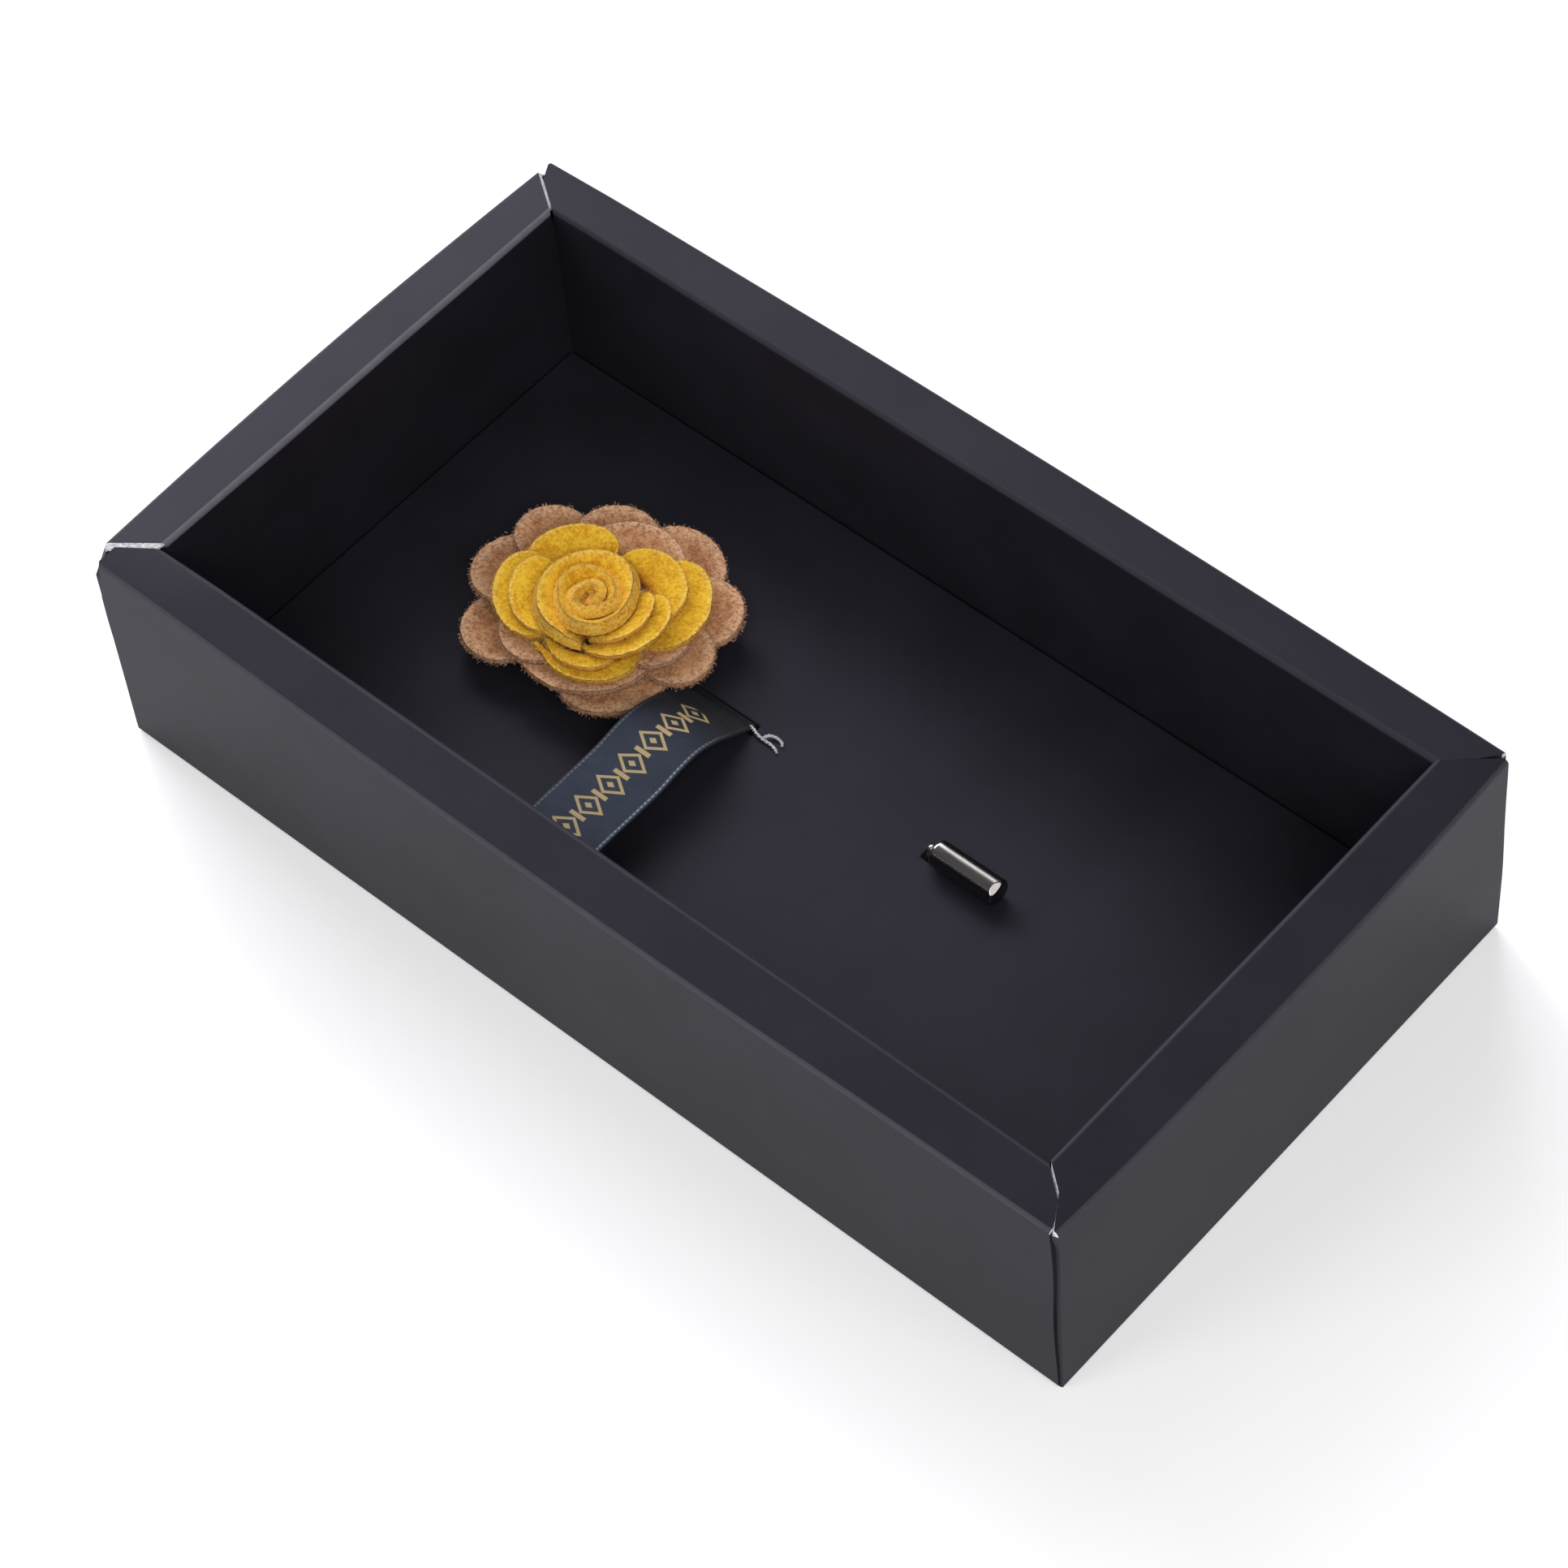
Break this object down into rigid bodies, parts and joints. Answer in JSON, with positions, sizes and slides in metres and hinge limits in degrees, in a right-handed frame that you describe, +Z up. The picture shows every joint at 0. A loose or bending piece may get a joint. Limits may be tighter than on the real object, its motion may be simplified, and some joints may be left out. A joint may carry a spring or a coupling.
{
  "type": "felt flower lapel pin in an open gift box tray",
  "caption": "Felt flower lapel pin on a needle with a sliding metal stopper, lying on the insert of a long open card gift box tray beside a ribbon loop.",
  "frame": {"origin": "middle of the tray's underside", "axes": "+Z up, +X along the tray from the flower towards the stopper, -Y towards the front long wall"},
  "size_m": [0.182, 0.1, 0.0417],
  "materials": {
    "card": "matt covered card",
    "ribbon": "woven ribbon with a gold pattern",
    "needle": "plain drawn wire",
    "stopper": "polished",
    "tan_felt": "wool felt",
    "yellow_felt": "wool felt"
  },
  "bodies": {
    "tray_and_flower": {"tray": "card", "insert_card": "card", "ribbon": "ribbon", "needle": "needle", "backing_disc": "tan_felt", "outer_petal_1": "tan_felt", "outer_petal_2": "tan_felt", "outer_petal_3": "tan_felt", "outer_petal_4": "tan_felt", "outer_petal_5": "tan_felt", "outer_petal_6": "tan_felt", "outer_petal_7": "tan_felt", "outer_petal_8": "tan_felt", "inner_petal_1": "tan_felt", "inner_petal_2": "tan_felt", "inner_petal_3": "tan_felt", "inner_petal_4": "tan_felt", "yellow_petal_1": "yellow_felt", "yellow_petal_2": "yellow_felt", "yellow_petal_3": "yellow_felt", "yellow_petal_4": "yellow_felt", "yellow_petal_5": "yellow_felt", "yellow_petal_6": "yellow_felt", "yellow_petal_7": "yellow_felt", "yellow_petal_8": "yellow_felt", "yellow_petal_9": "yellow_felt", "rolled_centre": "yellow_felt"},
    "stopper": {"stopper": "stopper"}
  },
  "joints": [
    {"name": "stopper_slide", "type": "slide", "parent": "tray_and_flower", "child": "stopper", "axis": [1, 0, 0], "range_m": [0, 0.008]}
  ]
}
